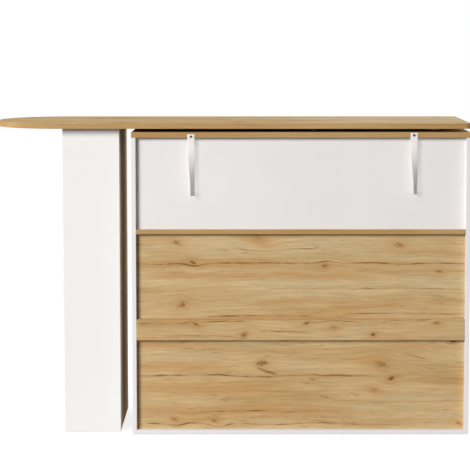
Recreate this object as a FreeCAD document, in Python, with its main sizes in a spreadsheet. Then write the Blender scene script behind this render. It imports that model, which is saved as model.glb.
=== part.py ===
"""A bar cabinet with a swinging bar top, as a parametric document in millimetres.

The origin is on the floor under the middle of the bar top, +Z is up and +X runs along the bar top.
The back, which faces the wall, looks along -Y, and the doors open towards +Y.
"""

import FreeCAD, Part
import math
import os

import Sketcher

SIZES = (
    # The bar top and the pillar under its round end
    ("top_length", 1600),
    ("top_depth", 450),
    ("top_thickness", 18),
    ("bar_height", 1050),
    ("corner_radius", 18),
    ("arris", 1),
    ("pillar_width", 190),
    ("pillar_setback", 40),
    ("pillar_gap", 42),
    ("pillar_lift", 3),
    # The carcass
    ("cabinet_width", 1130),
    ("cabinet_depth", 450),
    ("board", 15),
    ("oak_board", 18),
    ("shelf_level", 680),
    ("rail_level", 322),
    ("rail_height", 71),
    ("rail_thickness", 18),
    ("back_panel", 5),
    ("groove_depth", 6),
    ("groove_play", 0.4),
    ("glide_height", 3),
    ("glide_diameter", 14),
    ("glide_inset", 40),
    # The loose shelves and their pins
    ("loose_shelf_level", 358),
    ("shelf_play", 1),
    ("shelf_setback", 30),
    ("pin_diameter", 5),
    ("pin_depth", 6),
    ("pin_reach", 8),
    ("pin_margin", 45),
    ("fit_play", 0.05),
    # The doors
    ("door_recess", 22),
    ("door_gap", 3),
    ("pivot_diameter", 6),
    ("pivot_hold", 25),
    ("bush_wall", 1.5),
    ("bush_depth", 9),
    ("bush_flange", 2.5),
    ("seat_play", 0.3),
    ("knob_diameter", 30),
    ("knob_neck", 13),
    ("knob_height", 20),
    ("knob_edge", 4),
    ("knob_inset", 45),
    ("knob_drop", 110),
    ("catch_width", 46),
    ("catch_height", 13),
    ("catch_depth", 16),
    ("catch_inset", 40),
    ("strike_thickness", 1.2),
    # The turntable bearing
    ("pivot_inset", 225),
    ("swivel_gap", 12),
    ("ring_outer", 300),
    ("ring_race", 260),
    ("ring_inner", 220),
    ("ring_play", 1),
    ("ball_diameter", 6),
    ("ball_play", 0.1),
    # The rollers under the pillar
    ("roller_diameter", 50),
    ("roller_width", 22),
    ("roller_edge", 2),
    ("roller_inset", 85),
    ("axle_diameter", 8),
    ("axle_head", 2),
    ("bracket_plate", 2.5),
    ("bracket_length", 76),
    ("bracket_width", 56),
    ("bracket_headroom", 4),
    ("roller_play", 0.5),
    ("ear_width", 22),
    # The screws
    ("screw_diameter", 4),
    ("screw_head", 8),
    ("screw_head_height", 2.4),
    ("screw_hold", 12),
    ("screw_margin", 10),
    ("tie_diameter", 7),
    ("tie_head", 10),
    ("tie_head_height", 4),
    ("tie_hold", 36),
    ("tie_margin", 60),
    # The tip-restraint straps
    ("strap_width", 24),
    ("strap_thickness", 1.4),
    ("strap_length", 205),
    ("strap_inset_left", 199),
    ("strap_inset_right", 190),
    ("strap_drop_left", 6),
    ("strap_drop_right", 1),
    ("strap_screw_drop", 8),
    ("strap_drift", 5),
    ("strap_sway", 3),
    ("strap_hole_margin", 8),
    ("eyelet_bore", 5.5),
    ("eyelet_flange", 11),
    ("eyelet_wall", 0.9),
    ("eyelet_lip", 0.5),
)

BALL_COUNT = 24
STRAP_TWIST = 52
STRAP_SECTIONS = 9

doc = FreeCAD.newDocument("bar_cabinet")
sheet = doc.addObject("Spreadsheet::Sheet", "sizes")
for row, (alias, number) in enumerate(SIZES, 1):
    sheet.set(f"A{row}", alias)
    sheet.set(f"B{row}", str(number))
    sheet.setAlias(f"B{row}", alias)
doc.recompute()

# Places that several pieces share, as expressions on the sheet
RIGHT = "(sizes.top_length / 2)"
LEFT = "(sizes.top_length / 2 - sizes.cabinet_width)"
BACK = "(-sizes.cabinet_depth / 2)"
FRONT = "(sizes.cabinet_depth / 2)"
INNER_LEFT = f"({LEFT} + sizes.board)"
INNER_WIDTH = "(sizes.cabinet_width - 2 * sizes.board)"
INNER_RIGHT = f"({INNER_LEFT} + {INNER_WIDTH})"
TOP_UNDERSIDE = "(sizes.bar_height - sizes.top_thickness)"
CABINET_TOP = f"({TOP_UNDERSIDE} - sizes.swivel_gap)"
CARCASS_TOP = f"({CABINET_TOP} - sizes.oak_board)"
FLOOR_TOP = "(sizes.glide_height + sizes.board)"
SHELF_TOP = "(sizes.shelf_level + sizes.board)"
RAIL_MIDDLE = "(sizes.rail_level + sizes.rail_height / 2)"
PANEL_BACK = f"({BACK} + sizes.rail_thickness)"
PANEL_FRONT = f"({PANEL_BACK} + sizes.back_panel)"
TONGUE = "(sizes.groove_depth - sizes.shelf_play)"
PARTITION_LEFT = f"({LEFT} + (sizes.cabinet_width - sizes.board) / 2)"
PARTITION_RIGHT = f"({PARTITION_LEFT} + sizes.board)"
DOOR_FRONT = f"({FRONT} - sizes.door_recess)"
DOOR_BACK = f"({DOOR_FRONT} - sizes.board)"
DOOR_MIDDLE = f"({DOOR_FRONT} - sizes.board / 2)"
DOOR_WIDTH = f"(({INNER_WIDTH} - 3 * sizes.door_gap) / 2)"
DOOR_FOOT = f"({FLOOR_TOP} + sizes.door_gap)"
DOOR_HEIGHT = f"(sizes.shelf_level - {FLOOR_TOP} - 2 * sizes.door_gap)"
HINGE_LEFT = f"({INNER_LEFT} + sizes.door_gap + sizes.board / 2)"
HINGE_RIGHT = f"({INNER_RIGHT} - sizes.door_gap - sizes.board / 2)"
SWIVEL_X = f"({RIGHT} - sizes.pivot_inset)"
PILLAR_RIGHT = f"({LEFT} - sizes.pillar_gap)"
PILLAR_LEFT = f"({PILLAR_RIGHT} - sizes.pillar_width)"
PILLAR_MIDDLE = f"({PILLAR_RIGHT} - sizes.pillar_width / 2)"
PILLAR_DEPTH = "(sizes.top_depth - 2 * sizes.pillar_setback)"
PILLAR_BACK = f"(-{PILLAR_DEPTH} / 2)"
BRACKET_RISE = "(sizes.roller_diameter / 2 + sizes.bracket_headroom)"
BASE_UNDERSIDE = f"(sizes.roller_diameter / 2 + {BRACKET_RISE} + sizes.bracket_plate)"
STRAP_BACK = f"({BACK} - sizes.strap_thickness)"

nodes = []


def value(expression):
    """The number that an expression on the sheet has now."""
    return float(sheet.evalExpression(expression))


def place(item, spot):
    for axis, expression in zip("xyz", spot):
        item.setExpression(f"Placement.Base.{axis}", expression)


def new_body(label, spot=("0", "0", "0"), rotation=FreeCAD.Rotation()):
    body = doc.addObject("PartDesign::Body", label)
    body.Placement = FreeCAD.Placement(FreeCAD.Vector(), rotation)
    place(body, spot)
    return body


def new_sketch(body, role, offset):
    """A sketch on one of the body's own origin planes, moved along the plane's normal."""
    plane = next(item for item in body.Origin.OriginFeatures if item.Role == role)
    sketch = body.newObject("Sketcher::SketchObject", f"{body.Label}_sketch")
    sketch.AttachmentSupport = [(plane, "")]
    sketch.MapMode = "FlatFace"
    sketch.setExpression("AttachmentOffset.Base.z", offset)
    return sketch


def bind(sketch, constraint, expression):
    index = sketch.addConstraint(constraint)
    sketch.setExpression(f"Constraints[{index}]", expression)


def outline(body, role, corners, offset="0"):
    """A closed counter-clockwise outline. A corner with a radius starts a round that bulges outwards."""
    sketch = new_sketch(body, role, offset)
    points = [FreeCAD.Vector(value(corner[0]), value(corner[1]), 0) for corner in corners]
    for start, end, corner in zip(points, points[1:] + points[:1], corners):
        if len(corner) == 2:
            sketch.addGeometry(Part.LineSegment(start, end), False)
            continue
        radius = value(corner[2])
        chord = end - start
        inward = FreeCAD.Vector(-chord.y, chord.x, 0).normalize()
        rise = math.sqrt(max(radius**2 - chord.Length**2 / 4, 0))
        centre = (start + end) / 2 + inward * rise
        angles = [math.atan2(point.y - centre.y, point.x - centre.x) for point in (start, end)]
        if angles[1] < angles[0]:
            angles[1] += 2 * math.pi
        circle = Part.Circle(centre, FreeCAD.Vector(0, 0, 1), radius)
        sketch.addGeometry(Part.ArcOfCircle(circle, *angles), False)
    count = len(corners)
    for index in range(count):
        sketch.addConstraint(Sketcher.Constraint("Coincident", index, 2, (index + 1) % count, 1))
    for index, (corner, point) in enumerate(zip(corners, points)):
        bind(sketch, Sketcher.Constraint("DistanceX", -1, 1, index, 1, point.x), corner[0])
        bind(sketch, Sketcher.Constraint("DistanceY", -1, 1, index, 1, point.y), corner[1])
        if len(corner) == 3:
            bind(sketch, Sketcher.Constraint("Radius", index, value(corner[2])), corner[2])
    return sketch


def circles(body, role, centres, radius, offset="0"):
    sketch = new_sketch(body, role, offset)
    for index, centre in enumerate(centres):
        point = FreeCAD.Vector(value(centre[0]), value(centre[1]), 0)
        sketch.addGeometry(Part.Circle(point, FreeCAD.Vector(0, 0, 1), value(radius)), False)
        bind(sketch, Sketcher.Constraint("DistanceX", -1, 1, index, 3, point.x), centre[0])
        bind(sketch, Sketcher.Constraint("DistanceY", -1, 1, index, 3, point.y), centre[1])
        bind(sketch, Sketcher.Constraint("Radius", index, value(radius)), radius)
    return sketch


def pad(body, sketch, length):
    feature = body.newObject("PartDesign::Pad", f"{body.Label}_pad")
    feature.Profile = sketch
    feature.setExpression("Length", length)
    return feature


def pocket(body, sketch, depth, forward=False):
    """A cut against the sketch's normal, or along it when forward."""
    doc.recompute()
    before = body.Shape.Volume
    feature = body.newObject("PartDesign::Pocket", f"{body.Label}_pocket")
    feature.Profile = sketch
    feature.Reversed = forward
    feature.setExpression("Length", depth)
    doc.recompute()
    if body.Shape.Volume >= before:
        raise RuntimeError(f"{feature.Label} cuts nothing")
    return feature


def ease(body, feature, radius="sizes.arris"):
    """Takes the sharp arrises off a board."""
    doc.recompute()
    rounding = body.newObject("PartDesign::Fillet", f"{body.Label}_arris")
    rounding.Base = (feature, ["Face1"])
    rounding.UseAllEdges = True
    rounding.setExpression("Radius", radius)


def revolve(body, profile):
    """Turns a profile of radii and heights about the body's Z axis."""
    feature = body.newObject("PartDesign::Revolution", f"{body.Label}_turned")
    sketch = outline(body, "XZ_Plane", profile)
    feature.Profile = sketch
    feature.ReferenceAxis = (sketch, ["V_Axis"])
    feature.Angle = 360
    body.Tip = feature
    return feature


def rectangle(low, high):
    return [(low[0], low[1]), (high[0], low[1]), (high[0], high[1]), (low[0], high[1])]


def board(label, low, size, eased=True):
    """A board sawn square, from its lowest corner and its size along X, Y and Z."""
    body = new_body(label, low)
    block = pad(body, outline(body, "XY_Plane", rectangle(("0", "0"), size[:2])), size[2])
    if eased:
        ease(body, block)
    nodes.append(body)
    return body


def copies(label, master, spots, rotations):
    """Like pieces at their places, as one sub-part of separate solids."""
    group = doc.addObject("Part::Compound", label)
    links = []
    for spot, rotation in zip(spots, rotations):
        link = doc.addObject("App::Link", f"{label}_copy")
        link.LinkedObject = master
        link.Placement = FreeCAD.Placement(FreeCAD.Vector(), rotation)
        place(link, spot)
        links.append(link)
    group.Links = links
    nodes.append(group)
    return group


UPRIGHT = FreeCAD.Rotation()
UPSIDE_DOWN = FreeCAD.Rotation(FreeCAD.Vector(1, 0, 0), 180)
ALONG_X = FreeCAD.Rotation(FreeCAD.Vector(0, 1, 0), 90)
AGAINST_X = FreeCAD.Rotation(FreeCAD.Vector(0, 1, 0), -90)
ALONG_Y = FreeCAD.Rotation(FreeCAD.Vector(1, 0, 0), -90)
AGAINST_Y = FreeCAD.Rotation(FreeCAD.Vector(1, 0, 0), 90)


def turned_screw(label, diameter, head, head_height, length):
    """A screw whose head sits on Z = 0 and whose shank runs down from there."""
    screw = new_body(label)
    revolve(
        screw,
        [
            ("0", f"-({length})"),
            (f"{diameter} / 2 - sizes.fit_play", f"-({length})"),
            (f"{diameter} / 2 - sizes.fit_play", "0"),
            (f"{head} / 2", "0"),
            (f"{head} / 2", f"{head_height} / 2"),
            (f"{head} / 3", head_height),
            ("0", head_height),
        ],
    )
    return screw


# The bar top: one oak board with a half-round end over the pillar and a square end over the swivel
ROUND = "(sizes.top_depth / 2)"
STRAIGHT_LEFT = f"({ROUND} - sizes.top_length / 2)"
bar_top = new_body("bar_top_board", ("0", "0", TOP_UNDERSIDE))
bar_top_pad = pad(
    bar_top,
    outline(
        bar_top,
        "XY_Plane",
        [
            (STRAIGHT_LEFT, f"-{ROUND}"),
            (f"{RIGHT} - sizes.corner_radius", f"-{ROUND}", "sizes.corner_radius"),
            (RIGHT, f"sizes.corner_radius - {ROUND}"),
            (RIGHT, f"{ROUND} - sizes.corner_radius", "sizes.corner_radius"),
            (f"{RIGHT} - sizes.corner_radius", ROUND),
            (STRAIGHT_LEFT, ROUND, ROUND),
            ("-sizes.top_length / 2", "0", ROUND),
        ],
    ),
    "sizes.top_thickness",
)
ease(bar_top, bar_top_pad)
CAP_SCREW_X = "(sizes.pillar_width / 2 - sizes.board - sizes.screw_margin)"
CAP_SCREW_Y = f"({PILLAR_DEPTH} / 2 - sizes.board - sizes.screw_margin)"
cap_screw_places = [
    (f"{PILLAR_MIDDLE} + {side_x} * {CAP_SCREW_X}", f"{side_y} * {CAP_SCREW_Y}")
    for side_x in (-1, 1)
    for side_y in (-1, 1)
]
pocket(
    bar_top,
    circles(bar_top, "XY_Plane", cap_screw_places, "sizes.screw_diameter / 2"),
    "sizes.screw_hold + sizes.fit_play",
    forward=True,
)
nodes.append(bar_top)

# The pillar: a box of white narrow panels and oak side panels, with a cap and a base inside
PILLAR_HEIGHT = f"({TOP_UNDERSIDE} - sizes.pillar_lift)"
PILLAR_INSIDE = f"({PILLAR_DEPTH} - 2 * sizes.board)"
for label, edge in (
    ("pillar_back_panel", PILLAR_BACK),
    ("pillar_front_panel", f"({PILLAR_DEPTH} / 2 - sizes.board)"),
):
    board(
        label,
        (PILLAR_LEFT, edge, "sizes.pillar_lift"),
        ("sizes.pillar_width", "sizes.board", PILLAR_HEIGHT),
    )
for label, edge in (
    ("pillar_outer_panel", PILLAR_LEFT),
    ("pillar_inner_panel", f"({PILLAR_RIGHT} - sizes.board)"),
):
    board(
        label,
        (edge, f"{PILLAR_BACK} + sizes.board", "sizes.pillar_lift"),
        ("sizes.board", PILLAR_INSIDE, PILLAR_HEIGHT),
    )
CORE_SIZE = ("sizes.pillar_width - 2 * sizes.board", PILLAR_INSIDE, "sizes.board")
CORE_LEFT = f"({PILLAR_LEFT} + sizes.board)"
CORE_BACK = f"({PILLAR_BACK} + sizes.board)"
pillar_cap = board(
    "pillar_cap", (CORE_LEFT, CORE_BACK, f"{TOP_UNDERSIDE} - sizes.board"), CORE_SIZE, eased=False
)
pillar_base = board("pillar_base", (CORE_LEFT, CORE_BACK, BASE_UNDERSIDE), CORE_SIZE, eased=False)
pocket(
    pillar_cap,
    circles(
        pillar_cap,
        "XY_Plane",
        [(f"{x} - {CORE_LEFT}", f"{y} - {CORE_BACK}") for x, y in cap_screw_places],
        "sizes.screw_diameter / 2",
    ),
    "sizes.board",
    forward=True,
)
cap_screw = turned_screw(
    "cap_screw",
    "sizes.screw_diameter",
    "sizes.screw_head",
    "sizes.screw_head_height",
    "sizes.board + sizes.screw_hold",
)
copies(
    "cap_screws",
    cap_screw,
    [(x, y, f"{TOP_UNDERSIDE} - sizes.board") for x, y in cap_screw_places],
    [UPSIDE_DOWN] * len(cap_screw_places),
)

# The rollers: nylon wheels on steel axles in pressed brackets, screwed under the pillar base
EAR_OUTER = "(sizes.roller_width + 2 * sizes.roller_play + 2 * sizes.bracket_plate)"
EAR_INNER = "(sizes.roller_width + 2 * sizes.roller_play)"
BRACKET_SCREW_X = "(sizes.bracket_width / 2 - sizes.screw_margin)"
BRACKET_SCREW_Y = "(sizes.bracket_length / 2 - sizes.screw_margin)"
bracket_holes = [
    (f"{side_x} * {BRACKET_SCREW_X}", f"{side_y} * {BRACKET_SCREW_Y}")
    for side_x in (-1, 1)
    for side_y in (-1, 1)
]
ROLLERS = (
    ("back", f"({PILLAR_BACK} + sizes.roller_inset)"),
    ("front", f"({PILLAR_DEPTH} / 2 - sizes.roller_inset)"),
)
for end, roller_y in ROLLERS:
    centre = (PILLAR_MIDDLE, roller_y, "sizes.roller_diameter / 2")
    bracket = new_body(f"roller_bracket_{end}", centre)
    pad(
        bracket,
        outline(
            bracket,
            "YZ_Plane",
            [
                ("-sizes.ear_width / 2", "0", "sizes.ear_width / 2"),
                ("0", "-sizes.ear_width / 2", "sizes.ear_width / 2"),
                ("sizes.ear_width / 2", "0"),
                ("sizes.ear_width / 2", BRACKET_RISE),
                ("-sizes.ear_width / 2", BRACKET_RISE),
            ],
            f"-{EAR_OUTER} / 2",
        ),
        EAR_OUTER,
    )
    pad(
        bracket,
        outline(
            bracket,
            "XY_Plane",
            rectangle(
                ("-sizes.bracket_width / 2", "-sizes.bracket_length / 2"),
                ("sizes.bracket_width / 2", "sizes.bracket_length / 2"),
            ),
            BRACKET_RISE,
        ),
        "sizes.bracket_plate",
    )
    pocket(
        bracket,
        outline(
            bracket,
            "YZ_Plane",
            rectangle(
                ("-sizes.ear_width", "-sizes.ear_width"), ("sizes.ear_width", BRACKET_RISE)
            ),
            f"{EAR_INNER} / 2",
        ),
        EAR_INNER,
    )
    pocket(
        bracket,
        circles(
            bracket, "YZ_Plane", [("0", "0")], "sizes.axle_diameter / 2", f"{EAR_OUTER} / 2"
        ),
        EAR_OUTER,
    )
    pocket(
        bracket,
        circles(
            bracket,
            "XY_Plane",
            bracket_holes,
            "sizes.screw_diameter / 2",
            f"{BRACKET_RISE} + sizes.bracket_plate",
        ),
        "sizes.bracket_plate",
    )
    nodes.append(bracket)

    axle = new_body(f"roller_axle_{end}", centre, ALONG_X)
    AXLE_RADIUS = "(sizes.axle_diameter / 2 - sizes.fit_play)"
    AXLE_HEAD = "(sizes.axle_diameter / 2 + sizes.axle_head)"
    AXLE_END = f"({EAR_OUTER} / 2 + sizes.axle_head)"
    revolve(
        axle,
        [
            ("0", f"-{AXLE_END}"),
            (AXLE_HEAD, f"-{AXLE_END}"),
            (AXLE_HEAD, f"-{EAR_OUTER} / 2"),
            (AXLE_RADIUS, f"-{EAR_OUTER} / 2"),
            (AXLE_RADIUS, f"{EAR_OUTER} / 2"),
            (AXLE_HEAD, f"{EAR_OUTER} / 2"),
            (AXLE_HEAD, AXLE_END),
            ("0", AXLE_END),
        ],
    )
    nodes.append(axle)

    wheel = new_body(f"roller_wheel_{end}", centre, ALONG_X)
    revolve(
        wheel,
        [
            ("sizes.axle_diameter / 2", "-sizes.roller_width / 2"),
            ("sizes.roller_diameter / 2 - sizes.roller_edge", "-sizes.roller_width / 2", "sizes.roller_edge"),
            ("sizes.roller_diameter / 2", "sizes.roller_edge - sizes.roller_width / 2"),
            ("sizes.roller_diameter / 2", "sizes.roller_width / 2 - sizes.roller_edge", "sizes.roller_edge"),
            ("sizes.roller_diameter / 2 - sizes.roller_edge", "sizes.roller_width / 2"),
            ("sizes.axle_diameter / 2", "sizes.roller_width / 2"),
        ],
    )
    nodes.append(wheel)

bracket_screw_places = [
    (f"{PILLAR_MIDDLE} + {x}", f"{roller_y} + {y}") for end, roller_y in ROLLERS for x, y in bracket_holes
]
pocket(
    pillar_base,
    circles(
        pillar_base,
        "XY_Plane",
        [(f"{x} - {CORE_LEFT}", f"{y} - {CORE_BACK}") for x, y in bracket_screw_places],
        "sizes.screw_diameter / 2",
    ),
    "sizes.screw_hold + sizes.fit_play",
    forward=True,
)
bracket_screw = turned_screw(
    "bracket_screw",
    "sizes.screw_diameter",
    "sizes.screw_head",
    "sizes.screw_head_height",
    "sizes.bracket_plate + sizes.screw_hold",
)
copies(
    "bracket_screws",
    bracket_screw,
    [(x, y, f"{BASE_UNDERSIDE} - sizes.bracket_plate") for x, y in bracket_screw_places],
    [UPSIDE_DOWN] * len(bracket_screw_places),
)

# The turntable bearing: two aluminium rings with a ball race between them
RACE = "(sizes.ring_race / 2)"
RACE_HEIGHT = "(sizes.swivel_gap / 2)"
for label, inner, outer, foot in (
    (
        "swivel_inner_ring",
        "(sizes.ring_inner / 2)",
        f"({RACE} - sizes.ring_play / 2)",
        "0",
    ),
    (
        "swivel_outer_ring",
        f"({RACE} + sizes.ring_play / 2)",
        "(sizes.ring_outer / 2)",
        "sizes.ring_play",
    ),
):
    ring = new_body(label, (SWIVEL_X, "0", CABINET_TOP))
    revolve(
        ring, rectangle((inner, foot), (outer, f"{foot} + sizes.swivel_gap - sizes.ring_play"))
    )
    doc.recompute()
    groove = ring.newObject("PartDesign::Groove", f"{label}_race")
    race = circles(
        ring, "XZ_Plane", [(RACE, RACE_HEIGHT)], "sizes.ball_diameter / 2 + sizes.ball_play"
    )
    groove.Profile = race
    groove.ReferenceAxis = (race, ["V_Axis"])
    groove.Angle = 360
    ring.Tip = groove
    nodes.append(ring)
ball = doc.addObject("Part::Sphere", "swivel_ball")
ball.setExpression("Radius", "sizes.ball_diameter / 2")
ball_turns = [360 * index / BALL_COUNT for index in range(BALL_COUNT)]
copies(
    "swivel_balls",
    ball,
    [
        (
            f"{SWIVEL_X} + {RACE} * {math.cos(math.radians(turn))}",
            f"{RACE} * {math.sin(math.radians(turn))}",
            f"{CABINET_TOP} + {RACE_HEIGHT}",
        )
        for turn in ball_turns
    ],
    [UPRIGHT] * BALL_COUNT,
)

# The carcass: melamine boards screwed together, with an oak top board and an oak shelf
SIDE_HEIGHT = f"({CARCASS_TOP} - sizes.glide_height)"
TIE_SPOTS = (
    f"{BACK} + sizes.tie_margin",
    f"{FRONT} - sizes.tie_margin",
)
tie_places = [
    (y, z)
    for z in ("(sizes.glide_height + sizes.board / 2)", "(sizes.shelf_level + sizes.board / 2)")
    for y in TIE_SPOTS
] + [(f"{BACK} + sizes.rail_thickness / 2", RAIL_MIDDLE)]
PIN_LEVEL = "(sizes.loose_shelf_level - sizes.pin_diameter / 2)"
PIN_SPOTS = (
    f"({PANEL_FRONT} + sizes.pin_margin)",
    f"({DOOR_BACK} - sizes.shelf_setback - sizes.pin_margin)",
)
for label, edge, outer_offset, inner_offset, forward in (
    ("side_panel_left", LEFT, "0", "sizes.board", False),
    ("side_panel_right", INNER_RIGHT, "sizes.board", "0", True),
):
    side = board(
        label,
        (edge, BACK, "sizes.glide_height"),
        ("sizes.board", "sizes.cabinet_depth", SIDE_HEIGHT),
    )
    groove_left = "0" if forward else "sizes.board - sizes.groove_depth"
    groove_back = "sizes.rail_thickness"
    pocket(
        side,
        outline(
            side,
            "XY_Plane",
            rectangle(
                (groove_left, groove_back),
                (
                    f"{groove_left} + sizes.groove_depth",
                    f"{groove_back} + sizes.back_panel + sizes.groove_play",
                ),
            ),
        ),
        SIDE_HEIGHT,
        forward=True,
    )
    ties = [(f"{y} - {BACK}", f"{z} - sizes.glide_height") for y, z in tie_places]
    pocket(
        side,
        circles(side, "YZ_Plane", ties, "sizes.tie_head / 2", outer_offset),
        "sizes.tie_head_height",
        forward=not forward,
    )
    pocket(
        side,
        circles(side, "YZ_Plane", ties, "sizes.tie_diameter / 2", outer_offset),
        "sizes.board",
        forward=not forward,
    )
    pins = [(f"{y} - {BACK}", f"{PIN_LEVEL} - sizes.glide_height") for y in PIN_SPOTS]
    pocket(
        side,
        circles(side, "YZ_Plane", pins, "sizes.pin_diameter / 2", inner_offset),
        "sizes.pin_depth",
        forward=forward,
    )

bottom_panel = board(
    "bottom_panel",
    (INNER_LEFT, BACK, "sizes.glide_height"),
    (INNER_WIDTH, "sizes.cabinet_depth", "sizes.board"),
)
fixed_shelf = board(
    "fixed_shelf",
    (INNER_LEFT, BACK, "sizes.shelf_level"),
    (INNER_WIDTH, "sizes.cabinet_depth", "sizes.board"),
)
back_rail = board(
    "back_rail",
    (INNER_LEFT, BACK, "sizes.rail_level"),
    (INNER_WIDTH, "sizes.rail_thickness", "sizes.rail_height"),
)
RAIL_TIE = [("sizes.rail_thickness / 2", "sizes.rail_height / 2")]
PLANK_TIES = [(f"{y} - {BACK}", "sizes.board / 2") for y in TIE_SPOTS]
for plank, ties in ((bottom_panel, PLANK_TIES), (fixed_shelf, PLANK_TIES), (back_rail, RAIL_TIE)):
    pocket(
        plank,
        circles(plank, "YZ_Plane", ties, "sizes.tie_diameter / 2"),
        "sizes.tie_hold + sizes.fit_play",
        forward=True,
    )
    pocket(
        plank,
        circles(plank, "YZ_Plane", ties, "sizes.tie_diameter / 2", INNER_WIDTH),
        "sizes.tie_hold + sizes.fit_play",
    )
tie_screw = turned_screw(
    "tie_screw",
    "sizes.tie_diameter",
    "(sizes.tie_head - 2 * sizes.fit_play)",
    "sizes.tie_head_height",
    "sizes.board - sizes.tie_head_height + sizes.tie_hold",
)
copies(
    "carcass_screws",
    tie_screw,
    [(f"{LEFT} + sizes.tie_head_height", y, z) for y, z in tie_places]
    + [(f"{RIGHT} - sizes.tie_head_height", y, z) for y, z in tie_places],
    [AGAINST_X] * len(tie_places) + [ALONG_X] * len(tie_places),
)

cabinet_top = board(
    "cabinet_top",
    (LEFT, BACK, CARCASS_TOP),
    ("sizes.cabinet_width", "sizes.cabinet_depth", "sizes.oak_board"),
)
STRAPS = (
    ("left", f"({LEFT} + sizes.strap_inset_left)", f"({CABINET_TOP} - sizes.strap_drop_left)"),
    ("right", f"({RIGHT} - sizes.strap_inset_right)", f"({CABINET_TOP} - sizes.strap_drop_right)"),
)
strap_screw_places = [(x, f"({top} - sizes.strap_screw_drop)") for side, x, top in STRAPS]
pocket(
    cabinet_top,
    circles(
        cabinet_top,
        "XZ_Plane",
        [(f"{x} - {LEFT}", f"{z} - {CARCASS_TOP}") for x, z in strap_screw_places],
        "sizes.screw_diameter / 2",
    ),
    "2 * sizes.screw_hold + sizes.fit_play",
)

# The back: a white panel above, two oak panels below that meet behind the rail, all in side grooves
for label, foot, head in (
    ("upper_back_panel", SHELF_TOP, CARCASS_TOP),
    ("middle_back_panel", RAIL_MIDDLE, "sizes.shelf_level"),
    ("lower_back_panel", FLOOR_TOP, RAIL_MIDDLE),
):
    board(
        label,
        (f"{INNER_LEFT} - {TONGUE}", PANEL_BACK, foot),
        (f"{INNER_WIDTH} + 2 * {TONGUE}", "sizes.back_panel", f"{head} - {foot}"),
        eased=False,
    )

# The partitions split the carcass into a left and a right bay
board(
    "upper_partition",
    (PARTITION_LEFT, PANEL_FRONT, SHELF_TOP),
    ("sizes.board", f"{FRONT} - {PANEL_FRONT}", f"{CARCASS_TOP} - {SHELF_TOP}"),
)
lower_partition = board(
    "lower_partition",
    (PARTITION_LEFT, PANEL_FRONT, FLOOR_TOP),
    (
        "sizes.board",
        f"{DOOR_BACK} - sizes.door_gap - {PANEL_FRONT}",
        f"sizes.shelf_level - {FLOOR_TOP}",
    ),
)
PARTITION_PINS = [(f"{y} - {PANEL_FRONT}", f"{PIN_LEVEL} - {FLOOR_TOP}") for y in PIN_SPOTS]
for offset, forward in (("0", True), ("sizes.board", False)):
    pocket(
        lower_partition,
        circles(
            lower_partition, "YZ_Plane", PARTITION_PINS, "sizes.pin_diameter / 2", offset
        ),
        "sizes.pin_depth",
        forward=forward,
    )

# The loose shelves lie on steel pins in the sides and in the partition
LOOSE_BACK = f"({PANEL_FRONT} + sizes.shelf_play)"
for label, bay_left, bay_right in (
    ("loose_shelf_left", INNER_LEFT, PARTITION_LEFT),
    ("loose_shelf_right", PARTITION_RIGHT, INNER_RIGHT),
):
    board(
        label,
        (f"{bay_left} + sizes.shelf_play", LOOSE_BACK, "sizes.loose_shelf_level"),
        (
            f"{bay_right} - {bay_left} - 2 * sizes.shelf_play",
            f"{DOOR_BACK} - sizes.shelf_setback - {LOOSE_BACK}",
            "sizes.board",
        ),
    )
shelf_pin = new_body("shelf_pin")
revolve(
    shelf_pin,
    rectangle(
        ("0", "-sizes.pin_depth"), ("sizes.pin_diameter / 2 - sizes.fit_play", "sizes.pin_reach")
    ),
)
pin_walls = (
    (INNER_LEFT, ALONG_X),
    (PARTITION_LEFT, AGAINST_X),
    (PARTITION_RIGHT, ALONG_X),
    (INNER_RIGHT, AGAINST_X),
)
copies(
    "shelf_pins",
    shelf_pin,
    [(x, y, f"{PIN_LEVEL} + sizes.fit_play") for x, rotation in pin_walls for y in PIN_SPOTS],
    [rotation for x, rotation in pin_walls for y in PIN_SPOTS],
)

# The glides: nylon buttons nailed under the sides and the middle of the bottom panel
glide = new_body("glide")
revolve(
    glide,
    [
        ("0", "0"),
        ("sizes.glide_diameter / 2 - sizes.glide_height / 2", "0"),
        ("sizes.glide_diameter / 2", "sizes.glide_height / 2"),
        ("sizes.glide_diameter / 2", "sizes.glide_height"),
        ("0", "sizes.glide_height"),
    ],
)
glide_columns = (
    f"{LEFT} + sizes.board / 2",
    f"{PARTITION_LEFT} + sizes.board / 2",
    f"{RIGHT} - sizes.board / 2",
)
glide_rows = (f"{BACK} + sizes.glide_inset", f"{FRONT} - sizes.glide_inset")
copies(
    "cabinet_glides",
    glide,
    [(x, y, "0") for x in glide_columns for y in glide_rows],
    [UPRIGHT] * (len(glide_columns) * len(glide_rows)),
)

# The doors: flush boards with a half-round hinge edge, turning on steel pivots in nylon bushes
HALF = "(sizes.board / 2)"
DOOR_REACH = f"({DOOR_WIDTH} - {HALF})"
BUSH_RADIUS = "(sizes.pivot_diameter / 2 + sizes.bush_wall)"
pivot_pin = new_body("pivot_pin")
revolve(
    pivot_pin,
    rectangle(
        ("0", "-sizes.pivot_hold"),
        (
            "sizes.pivot_diameter / 2 - sizes.fit_play",
            "sizes.door_gap + sizes.bush_depth - sizes.seat_play",
        ),
    ),
)
door_bush = new_body("door_bush")
revolve(
    door_bush,
    [
        ("sizes.pivot_diameter / 2", "-sizes.bush_depth"),
        (f"{BUSH_RADIUS} - sizes.fit_play", "-sizes.bush_depth"),
        (f"{BUSH_RADIUS} - sizes.fit_play", "0"),
        (f"{BUSH_RADIUS} + sizes.bush_flange", "0"),
        (f"{BUSH_RADIUS} + sizes.bush_flange", "sizes.door_gap - sizes.seat_play"),
        ("sizes.pivot_diameter / 2", "sizes.door_gap - sizes.seat_play"),
    ],
)
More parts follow.
